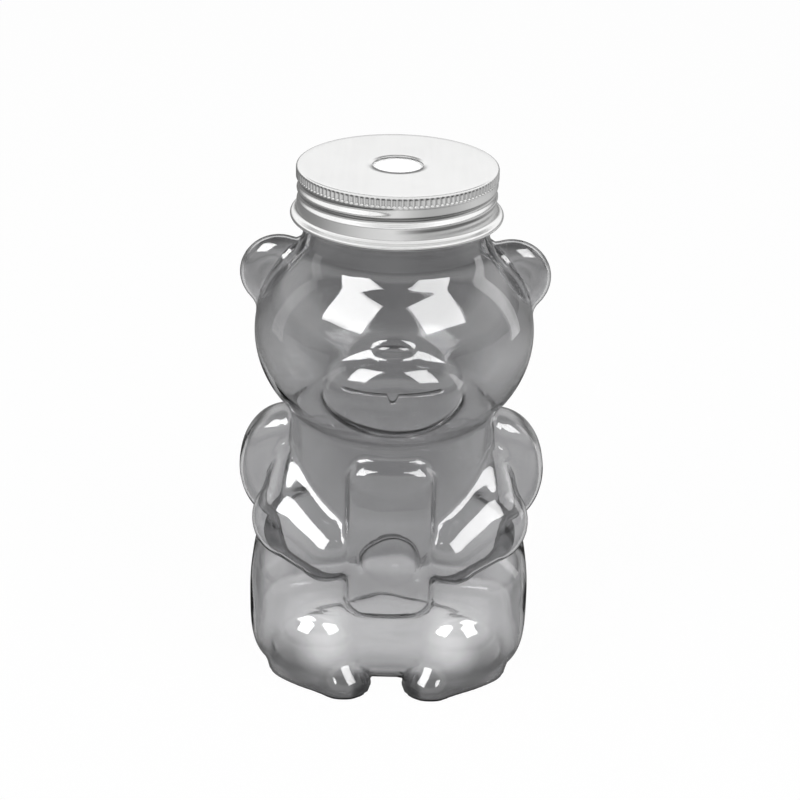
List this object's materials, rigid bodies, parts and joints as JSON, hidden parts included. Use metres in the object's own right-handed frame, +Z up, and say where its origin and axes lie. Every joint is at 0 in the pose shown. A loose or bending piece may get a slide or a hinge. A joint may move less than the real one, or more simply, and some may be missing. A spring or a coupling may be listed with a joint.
{
  "type": "bear-shaped storage box",
  "caption": "Clear bear-shaped bottle with head, ears, arms and feet moulded in, closed by a rolled aluminium screw lid with a centre hole over a white liner.",
  "frame": {"origin": "on the standing surface, on the neck's axis, which is also the middle of the bottle's footprint box to within a millimetre", "axes": "+Z up along the neck axis, -Y the way the bear looks, +X to the bear's left hand; the bottle is alike on both sides of the YZ plane"},
  "size_m": [0.088, 0.0872, 0.1498],
  "materials": {
    "clear_plastic": "clear blow-moulded plastic, glossy",
    "rolled_aluminium": "satin rolled sheet, knurled upper band",
    "white_foam": "matt pressed foam"
  },
  "bodies": {
    "bottle": {"bear_bottle": "clear_plastic"},
    "liner": {"lid_liner": "white_foam"},
    "lid": {"lid_shell": "rolled_aluminium"}
  },
  "joints": [
    {"name": "lid_lift", "type": "slide", "parent": "bottle", "child": "liner", "axis": [0, 0, 1], "range_m": [0, 0.00213]},
    {"name": "lid_turn", "type": "hinge", "parent": "liner", "child": "lid", "pos_m": [0, 0, 0.1478], "axis": [0, 0, 1], "range_deg": [0, 240]}
  ],
  "couplings": [
    {"joint": "lid_lift", "follows": "lid_turn", "m_per_rad": 0.0005093}
  ]
}
